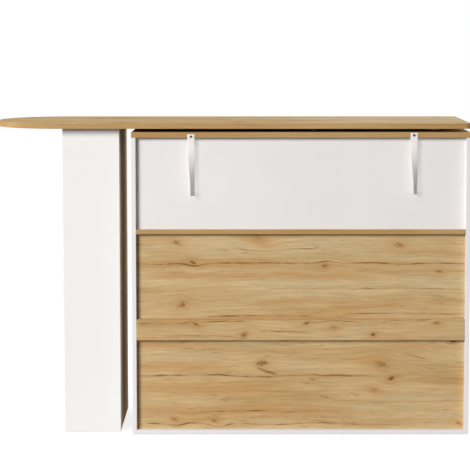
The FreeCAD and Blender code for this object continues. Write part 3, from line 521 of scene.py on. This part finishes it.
# Bar top, one long oak-faced board with a half-round end, and the pillar that carries that end.
# The pillar is four panels round a cap and a base: white to front and back, oak on the sides,
# with the grain upright. The bar top is screwed down into the pillar cap.
BAR_KNOTS = scattered(21, 9, (-0.7, 0.75), (0.86, 1.26), (0.007, 0.014))
BAR_SPLITS = [
    (0.93, -0.80, 0.10, 0.0036),
    (1.06, -0.20, 0.80, 0.0038),
    (1.17, -0.75, 0.55, 0.0030),
    (1.00, 0.20, 0.80, 0.0024),
    (1.22, -0.10, 0.80, 0.0032),
]
bar_oak = oak_board("oak_bar_top", LENGTHWISE, ACROSS, 24.0, BAR_KNOTS, BAR_SPLITS, edge=UPRIGHT)
dress(bar_oak, "bar_top_board")
PILLAR_ACROSS, PILLAR_GLOSS = (1.0, 1.0, 0.0), 0.55
PILLAR_KNOTS = scattered(22, 5, (0.08, 0.98), (-0.7, -0.25), (0.006, 0.011))
PILLAR_SPLITS = [
    (-0.46, 0.05, 0.80, 0.0034),
    (-0.58, 0.2, 1.0, 0.0030),
    (-0.36, 0.0, 0.6, 0.0030),
]
pillar_oak = oak_board(
    "oak_pillar", UPRIGHT, PILLAR_ACROSS, 28.0, PILLAR_KNOTS, PILLAR_SPLITS, gloss=PILLAR_GLOSS
)
dress(pillar_oak, "pillar_outer_panel", "pillar_inner_panel")
pillar_white = skin_finish(
    "pillar_white",
    light=paint(238, 237, 235),
    dark=paint(235, 234, 232),
    pitch=900.0,
    drift=3.0,
    gloss=(0.38, 0.52),
    depth=0.00012,
)
dress(pillar_white, "pillar_back_panel", "pillar_front_panel", "pillar_cap", "pillar_base")

# Screws: sunk heads with a hexagon socket tie the carcass, and pan heads with a cross recess hold
# the bar top, the roller brackets and the straps. They are cold headed from steel wire and zinc
# plated, apart from those of the straps, which are browned.
HEAD_SIDES, SHANK_SIDES = 36, 20
SCREW, screw_in, screw_out = node_group(
    "screw_set",
    [
        ("Seats", "Geometry"),
        *numbers("Head Diameter", "Head Height", "Shank Diameter", "Length"),
        ("Hexagon Socket", "Bool"),
        ("Finish", "Material"),
    ],
    [("Screws", "Geometry")],
    "GeometryNodeTree",
)
screw_seats, head_wide, head_high, shank_wide, screw_long, with_hexagon, screw_finish = screw_in[:7]


def along_axis(mesh, height):
    """Slides a mesh along the screw's own axis."""
    lift = wire(SCREW, "ShaderNodeCombineXYZ", {2: height}).outputs[0]
    return wire(SCREW, "GeometryNodeTransform", {"Geometry": mesh, "Translation": lift}).outputs[0]


def joined(*meshes):
    """Parts of the screw as one mesh."""
    made = wire(SCREW, "GeometryNodeJoinGeometry")
    for mesh in meshes:
        SCREW.links.new(mesh, made.inputs[0])
    return made.outputs[0]


head_radius = over(SCREW, head_wide, 2.0)
crown_high = times(SCREW, head_high, 0.45)
rim_high = minus(SCREW, head_high, crown_high)
rim_sizes = {"Vertices": HEAD_SIDES, "Radius": head_radius, "Depth": rim_high}
rim = wire(SCREW, "GeometryNodeMeshCylinder", rim_sizes).outputs[0]
crown_sizes = {
    "Vertices": HEAD_SIDES,
    "Side Segments": 1,
    "Radius Top": times(SCREW, head_radius, 0.72),
    "Radius Bottom": head_radius,
    "Depth": crown_high,
}
crown = wire(SCREW, "GeometryNodeMeshCone", crown_sizes).outputs[0]
head = joined(along_axis(rim, over(SCREW, rim_high, 2.0)), along_axis(crown, rim_high))
slot_long = times(SCREW, head_wide, 0.62)
slot_wide = times(SCREW, head_wide, 0.13)
recess_deep = times(SCREW, head_high, 1.3)
slots = []
for slot_plan in ((slot_long, slot_wide), (slot_wide, slot_long)):
    slot_size = wire(SCREW, "ShaderNodeCombineXYZ", (*slot_plan, recess_deep)).outputs[0]
    slots.append(wire(SCREW, "GeometryNodeMeshCube", {"Size": slot_size}).outputs[0])
key_sizes = {"Vertices": 6, "Radius": times(SCREW, head_wide, 0.26), "Depth": recess_deep}
key = wire(SCREW, "GeometryNodeMeshCylinder", key_sizes).outputs[0]
choice = {"Switch": with_hexagon, "False": joined(*slots), "True": key}
recess = wire(SCREW, "GeometryNodeSwitch", choice, input_type="GEOMETRY").outputs[0]
cut = wire(SCREW, "GeometryNodeMeshBoolean", operation="DIFFERENCE")
SCREW.links.new(head, cut.inputs[0])
SCREW.links.new(along_axis(recess, head_high), cut.inputs[1])
shank_sizes = {
    "Vertices": SHANK_SIDES,
    "Radius Top": over(SCREW, shank_wide, 2.0),
    "Radius Bottom": over(SCREW, shank_wide, 4.0),
    "Depth": minus(SCREW, screw_long, head_high),
}
shank = wire(SCREW, "GeometryNodeMeshCone", shank_sizes).outputs[0]
screw = joined(cut.outputs[0], along_axis(shank, minus(SCREW, head_high, screw_long)))


def facing_turn(tree):
    """The turn that points a mesh the way that its seat faces."""
    way = wire(tree, "GeometryNodeInputNamedAttribute", {"Name": "facing"}, data_type="FLOAT_VECTOR")
    return wire(tree, "FunctionNodeAlignRotationToVector", {"Vector": way.outputs[0]}, axis="Z").outputs[0]


def set_out(tree, seats, mesh, turn, finish):
    """Sets a mesh out on every seat, as plain faces with a finish."""
    points = wire(tree, "GeometryNodeMeshToPoints", {"Mesh": seats}).outputs[0]
    copies = {"Points": points, "Instance": mesh, "Rotation": turn}
    driven = wire(tree, "GeometryNodeInstanceOnPoints", copies).outputs[0]
    plain_mesh = wire(tree, "GeometryNodeRealizeInstances", {"Geometry": driven}).outputs[0]
    dressed = {"Geometry": plain_mesh, "Material": finish}
    return wire(tree, "GeometryNodeSetMaterial", dressed).outputs[0]


spin = wire(SCREW, "FunctionNodeRandomValue", {2: 0.0, 3: 1.5, "Seed": 4}, data_type="FLOAT")
twist = wire(SCREW, "FunctionNodeAxisAngleToRotation", {"Axis": UPRIGHT, "Angle": spin.outputs[1]})
turns = (facing_turn(SCREW), twist.outputs[0])
turned = wire(SCREW, "FunctionNodeRotateRotation", turns, rotation_space="LOCAL").outputs[0]
SCREW.links.new(set_out(SCREW, screw_seats, screw, turned, screw_finish), screw_out["Screws"])


def put_in(name, data):
    """A new object in the scene that holds a mesh, a curve, a light or a camera."""
    made = bpy.data.objects.new(name, data)
    bpy.context.scene.collection.objects.link(made)
    return made


def seat_mesh(name, seats):
    """Loose points, each with the way that it faces."""
    mesh = bpy.data.meshes.new(name)
    mesh.from_pydata([place for place, _ in seats], [], [])
    facing = mesh.attributes.new("facing", "FLOAT_VECTOR", "POINT")
    for number, (_, way) in enumerate(seats):
        facing.data[number].vector = way
    return put_in(name, mesh)


def grow(piece, tree, settings):
    """Runs a node group on a piece and keeps what it makes as the piece's plain mesh."""
    modifier = piece.modifiers.new(tree.name, "NODES")
    modifier.node_group = tree
    for item in tree.interface.items_tree:
        if item.name in settings:
            modifier[item.identifier] = settings[item.name]
    seen = piece.evaluated_get(bpy.context.evaluated_depsgraph_get())
    made = bpy.data.meshes.new_from_object(seen)
    piece.modifiers.clear()
    piece.data = made


def drive(name, node, body, seats, sizes, length, finish=zinc):
    """A set of screws in place of a node's plain ones. Each seat is the underside of a head."""
    piece = seat_mesh(name, seats)
    grow(piece, SCREW, {**sizes, "Length": length, "Finish": finish})
    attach(piece, body)
    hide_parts(node)


TIE_SCREW = {"Head Diameter": 0.0099, "Head Height": 0.004, "Shank Diameter": 0.0068, "Hexagon Socket": True}
PAN_SCREW = {"Head Diameter": 0.008, "Head Height": 0.0024, "Shank Diameter": 0.0038, "Hexagon Socket": False}
TIE_LONG, CAP_SCREW_LONG, BRACKET_SCREW_LONG = 0.051, 0.0294, 0.0169
SIDE_FACES = ((-0.330, -1.0), (0.800, 1.0))
TIE_PLACES = ((-0.165, 0.0105), (0.165, 0.0105), (-0.165, 0.6875), (0.165, 0.6875), (-0.216, 0.3575))
tie_seats = []
for outer, way in SIDE_FACES:
    for y, z in TIE_PLACES:
        tie_seats.append(((outer - way * TIE_SCREW["Head Height"], y, z), (way, 0.0, 0.0)))
drive("carcass_tie_screws", "carcass_screws", "cabinet", tie_seats, TIE_SCREW, TIE_LONG)
DOWN = (0.0, 0.0, -1.0)
CAP_UNDERSIDE, BRACKET_UNDERSIDE = 1.017, 0.054
cap_seats = [((x, y, CAP_UNDERSIDE), DOWN) for x in (-0.537, -0.397) for y in (-0.16, 0.16)]
drive("pillar_cap_screws", "cap_screws", "bar_top", cap_seats, PAN_SCREW, CAP_SCREW_LONG)
bracket_seats = [
    ((x, middle + y, BRACKET_UNDERSIDE), DOWN)
    for middle in (-0.1, 0.1)
    for x in (-0.485, -0.449)
    for y in (-0.028, 0.028)
]
drive("roller_bracket_screws", "bracket_screws", "bar_top", bracket_seats, PAN_SCREW, BRACKET_SCREW_LONG)

# Tip-restraint straps: white nylon webbing, 24 mm wide, that ties the cabinet to a wall.
# Each is woven in ribs, cut hot so its ends don't fray, screwed to the edge of the cabinet top,
# and hangs free, turning a little, to a steel eyelet set under two rows of stitches.
STRAP_WIDE, STRAP_THICK, STRAP_LONG = 0.024, 0.0014, 0.205
STRAP_TURN, STRAP_FLAT, STRAP_TAB = math.radians(52), 1.002, 0.016
RIB_PITCH, PICK_PITCH, RIB_HIGH = 0.0024, 0.0026, 0.00016
STRAP_TOPS = {"left": (-0.131, 1.014), "right": (0.610, 1.019)}
STRAP_AT, STRAP_SCREW_DROP, STRAP_SCREW_LONG = -0.2257, 0.008, 0.0278
BACKWARDS = (0.0, -1.0, 0.0)
strap_face = STRAP_AT - STRAP_THICK / 2
strap_seats = [((x, strap_face, top - STRAP_SCREW_DROP), BACKWARDS) for x, top in STRAP_TOPS.values()]
browned = steel_finish("browned_steel", paint(96, 88, 90), paint(74, 68, 70))
drive("strap_pan_screws", "strap_screws", "cabinet", strap_seats, PAN_SCREW, STRAP_SCREW_LONG, browned)


def webbing_finish():
    """White nylon yarn that lets light through, with painted shade darkening the grooves between the ribs."""
    material, tree, shader = new_finish(
        "nylon_webbing",
        Sheen_Weight=0.25,
        Sheen_Roughness=0.4,
        Subsurface_Weight=0.6,
        Subsurface_Scale=0.003,
        Subsurface_Radius=(1.0, 1.0, 1.0),
    )
    attribute = {"attribute_name": "rib_height", "attribute_type": "GEOMETRY"}
    rib_height = wire(tree, "ShaderNodeAttribute", **attribute).outputs["Fac"]
    place = wire(tree, "ShaderNodeTexCoord").outputs["Object"]
    yarn = noise(tree, place, 2400.0, 2.0)
    soil = noise(tree, place, 45.0, 3.0)
    # The grooves between the ribs are coloured darker than their crowns: painted shade.
    cloth_and_groove_shade = tint(tree, ease_over(tree, rib_height, 0.0, 0.8), paint(226, 220, 214), paint(247, 244, 240))
    cloth_and_groove_shade = tint(tree, ease_over(tree, soil, 0.5, 0.8, 0.0, 0.2), cloth_and_groove_shade, paint(232, 226, 219))
    tree.links.new(cloth_and_groove_shade, shader.inputs["Base Color"])
    shade = wire(tree, "ShaderNodeLightPath").outputs["Is Shadow Ray"]
    tree.links.new(ease_over(tree, shade, 0.0, 1.0, 1.0, 0.2), shader.inputs["Alpha"])
    tree.links.new(ease_over(tree, yarn, 0.2, 0.8, 0.6, 0.82), shader.inputs["Roughness"])
    emboss(tree, shader, yarn, 0.3, 0.0001)
    return material


webbing = webbing_finish()


def strap_line(x, top):
    """The line that a strap hangs on, read from a smooth curve through its few points."""
    low = top - STRAP_LONG
    route = [
        (x, STRAP_AT, top),
        (x, STRAP_AT, STRAP_FLAT),
        (x + 0.0002, -0.2259, STRAP_FLAT - 0.035),
        (x + 0.0025, -0.2272, (STRAP_FLAT + low) / 2),
        (x + 0.0048, -0.2286, low + 0.045),
        (x + 0.005, -0.2287, low + STRAP_TAB),
        (x + 0.005, -0.2287, low),
    ]
    curve = bpy.data.curves.new("strap_line", "CURVE")
    curve.dimensions = "3D"
    spline = curve.splines.new("NURBS")
    spline.points.add(len(route) - 1)
    for point, place in zip(spline.points, route):
        point.co = (*place, 1.0)
    spline.order_u = 3
    spline.use_endpoint_u = True
    spline.resolution_u = 64
    guide = put_in("strap_line", curve)
    line = bpy.data.meshes.new_from_object(guide.evaluated_get(bpy.context.evaluated_depsgraph_get()))
    places = [vertex.co.copy() for vertex in line.vertices]
    bpy.data.objects.remove(guide)
    return places


def turn_at(height, low):
    """How far the strap has turned, from flat on the cabinet top to its full turn at the tab."""
    share = (STRAP_FLAT - height) / (STRAP_FLAT - low - STRAP_TAB)
    share = max(0.0, min(1.0, share))
    return STRAP_TURN * share * share * (3 - 2 * share)


def strap_frame(places, low, share):
    """Place on the strap's line, its width direction and the way that its face looks."""
    place_at = share * (len(places) - 1)
    first = min(int(place_at), len(places) - 2)
    centre = places[first].lerp(places[first + 1], place_at - first)
    down = (places[first + 1] - places[first]).normalized()
    angle = turn_at(centre.z, low)
    across = Vector((math.cos(angle), math.sin(angle), 0.0))
    across = (across - down * across.dot(down)).normalized()
    return centre, across, across.cross(down).normalized()


STRAP_ROWS, STRAP_RIBS, RIB_STEPS = 330, 10, 5


def weave_strap(side, x, top):
    """A strap's closed mesh: a loop of points round it at each row, with its ribs standing proud."""
    places = strap_line(x, top)
    low = top - STRAP_LONG
    mesh = bmesh.new()
    rib_height = mesh.verts.layers.float.new("rib_height")
    columns = STRAP_RIBS * RIB_STEPS
    loops = []
    for row in range(STRAP_ROWS + 1):
        share = row / STRAP_ROWS
        centre, across, face = strap_frame(places, low, share)
        loop = []
        for front in (1, -1):
            for column in range(columns + 1)[::front]:
                spot = column / columns
                rib = spot * STRAP_RIBS
                odd_rib = int(min(rib, STRAP_RIBS - 1e-6)) % 2
                pick = share * STRAP_LONG / PICK_PITCH + 0.5 * odd_rib
                crown = abs(math.sin(math.pi * rib)) ** 0.6
                rise = crown * (0.55 + 0.45 * abs(math.sin(math.pi * pick)))
                edge = min(1.0, min(spot, 1 - spot) * 14)
                end = min(1.0, min(share, 1 - share) * 60)
                rounded = math.sqrt(max(0.05, edge * (2 - edge)))
                half = (STRAP_THICK / 2 - RIB_HIGH + RIB_HIGH * rise) * rounded * (0.7 + 0.3 * end)
                vert = mesh.verts.new(centre + across * ((spot - 0.5) * STRAP_WIDE) + face * (front * half))
                vert[rib_height] = rise
                loop.append(vert)
        loops.append(loop)
    count = len(loops[0])
    for upper, lower in zip(loops, loops[1:]):
        for number in range(count):
            after = (number + 1) % count
            mesh.faces.new((upper[number], upper[after], lower[after], lower[number]))
    half_count = count // 2
    for loop in (loops[0], loops[-1]):
        for number in range(half_count - 1):
            other = count - 1 - number
            mesh.faces.new((loop[number], loop[number + 1], loop[other - 1], loop[other]))
    bmesh.ops.recalc_face_normals(mesh, faces=mesh.faces)
    for polygon in mesh.faces:
        polygon.smooth = True
    name = "strap_webbing_" + side
    made = bpy.data.meshes.new(name)
    mesh.to_mesh(made)
    mesh.free()
    made.materials.append(webbing)
    return put_in(name, made), places, low


STITCH, stitch_in, stitch_out = node_group(
    "stitch_row",
    [("Seats", "Geometry"), *numbers("Length", "Thread"), ("Finish", "Material")],
    [("Stitches", "Geometry")],
    "GeometryNodeTree",
)
stitch_seats, stitch_long, stitch_thread, stitch_finish = stitch_in[:4]
bead = wire(STITCH, "GeometryNodeMeshUVSphere", {"Segments": 10, "Rings": 8, "Radius": 0.5})
bead_size = wire(STITCH, "ShaderNodeCombineXYZ", (stitch_thread, stitch_thread, stitch_long)).outputs[0]
lying = wire(STITCH, "GeometryNodeTransform", {"Geometry": bead.outputs[0], "Scale": bead_size}).outputs[0]
sewn = set_out(STITCH, stitch_seats, lying, facing_turn(STITCH), stitch_finish)
STITCH.links.new(sewn, stitch_out["Stitches"])

bonded_thread = skin_finish(
    "bonded_thread",
    light=paint(236, 234, 230),
    dark=paint(216, 212, 206),
    pitch=3000.0,
    drift=400.0,
    gloss=(0.5, 0.65),
    depth=0.00005,
)
STITCH_ROWS, STITCH_SPOTS = (0.0205, 0.0235, 0.168, 0.171), range(-4, 5)
STITCH_LONG, THREAD_THICK, STITCH_SUNK = 0.0021, 0.0006, 0.0001


def sew(side, places, low):
    """Rows of stitches across the strap, above the eyelet and under the screw, on both faces."""
    seats = []
    for height in STITCH_ROWS:
        centre, across, face = strap_frame(places, low, 1 - height / STRAP_LONG)
        for spot in STITCH_SPOTS:
            for front in (1, -1):
                lift = face * (front * (STRAP_THICK / 2 - STITCH_SUNK))
                seats.append((centre + across * (spot * RIB_PITCH) + lift, across))
    piece = seat_mesh("strap_stitches_" + side, seats)
    grow(piece, STITCH, {"Length": STITCH_LONG, "Thread": THREAD_THICK, "Finish": bonded_thread})
    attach(piece, "cabinet")
    return piece


for side, (x, top) in STRAP_TOPS.items():
    strap, places, low = weave_strap(side, x, top)
    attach(strap, "cabinet")
    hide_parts("tip_strap_" + side)
    stitches = sew(side, places, low)

# Stage: a plain pale floor, a large soft studio light from the front left, weaker lights from
# overhead, from both sides and from behind for the other views, and a white surround.
FLOOR_HALF, FLOOR_GLOW, FLOOR_FADE = 30.0, 0.82, (1.4, 3.4)
WHITE, FLOOR_GREY = (1.0, 1.0, 1.0, 1.0), (0.32, 0.32, 0.32, 1.0)
FILL_LIGHT = 0.04


def shown(tree):
    """One where a surface is seen, straight, mirrored or through glass, and nought where it only lights."""
    rays = wire(tree, "ShaderNodeLightPath").outputs
    mirrored = larger(tree, rays["Is Camera Ray"], rays["Is Glossy Ray"])
    return larger(tree, mirrored, rays["Is Transmission Ray"])


floor_mesh = bpy.data.meshes.new("studio_floor")
floor_corners = [(x * FLOOR_HALF, y * FLOOR_HALF, 0.0) for x, y in ((-1, -1), (1, -1), (1, 1), (-1, 1))]
floor_mesh.from_pydata(floor_corners, [], [(0, 1, 2, 3)])
floor = put_in("studio_floor", floor_mesh)
floor_paint, tree, shader = new_finish("floor_paint", Roughness=0.9, Specular_IOR_Level=0.1)
shader.inputs["Base Color"].default_value = FLOOR_GREY
shader.inputs["Emission Color"].default_value = WHITE
tree.links.new(times(tree, shown(tree), FLOOR_GLOW), shader.inputs["Emission Strength"])
floor_place = wire(tree, "ShaderNodeTexCoord").outputs["Object"]
far = wire(tree, "ShaderNodeVectorMath", (floor_place,), operation="LENGTH").outputs["Value"]
tree.links.new(ease_over(tree, far, *FLOOR_FADE, 1.0, 0.0), shader.inputs["Alpha"])
floor_mesh.materials.append(floor_paint)

scene = bpy.context.scene
world = bpy.data.worlds.new("studio")
scene.world = world
world.use_nodes = True
tree = world.node_tree
surround = tree.nodes["Background"]
surround.inputs["Color"].default_value = WHITE
tree.links.new(ease_over(tree, shown(tree), 0.0, 1.0, FILL_LIGHT, 1.0), surround.inputs["Strength"])


def lamp(name, place, target, size, power):
    """A square soft light at a place, turned to a target."""
    light = bpy.data.lights.new(name, "AREA")
    light.shape = "SQUARE"
    light.size = size
    light.energy = power
    holder = put_in(name, light)
    holder.location = place
    holder.rotation_euler = (Vector(target) - Vector(place)).to_track_quat("-Z", "Y").to_euler()


lamp("front_light", (-8.6, -12.3, 6.5), (0.1, -0.2, 0.5), 6.9, 2950.0)
lamp("overhead_light", (-0.9, -0.2, 4.2), (-0.5, 0.0, 0.9), 2.4, 22.0)
lamp("left_light", (-5.5, 1.4, 2.2), (-0.6, 0.0, 0.5), 2.0, 110.0)
lamp("right_light", (5.5, 1.4, 1.8), (0.8, 0.0, 0.5), 2.0, 130.0)
lamp("rear_light", (1.6, 5.6, 2.4), (0.1, 0.2, 0.5), 2.4, 220.0)

# Camera: in front of the cabinet's back, a little above the bar top, with a long lens.
# It looks a little down, and the rest of the picture's drop comes from the lens shift.
LENS, SENSOR, LENS_SHIFT = 131.25, 36.0, (-0.0285, -0.15)
CAMERA_AT, TILT = (0.06, -5.9, 1.372), math.radians(4.62)
camera_data = bpy.data.cameras.new("camera")
camera_data.lens = LENS
camera_data.sensor_width = SENSOR
camera_data.shift_x, camera_data.shift_y = LENS_SHIFT
camera = put_in("camera", camera_data)
camera.location = CAMERA_AT
camera.rotation_euler = (math.pi / 2 - TILT, 0.0, 0.0)
scene.camera = camera
scene.view_settings.view_transform = "Standard"
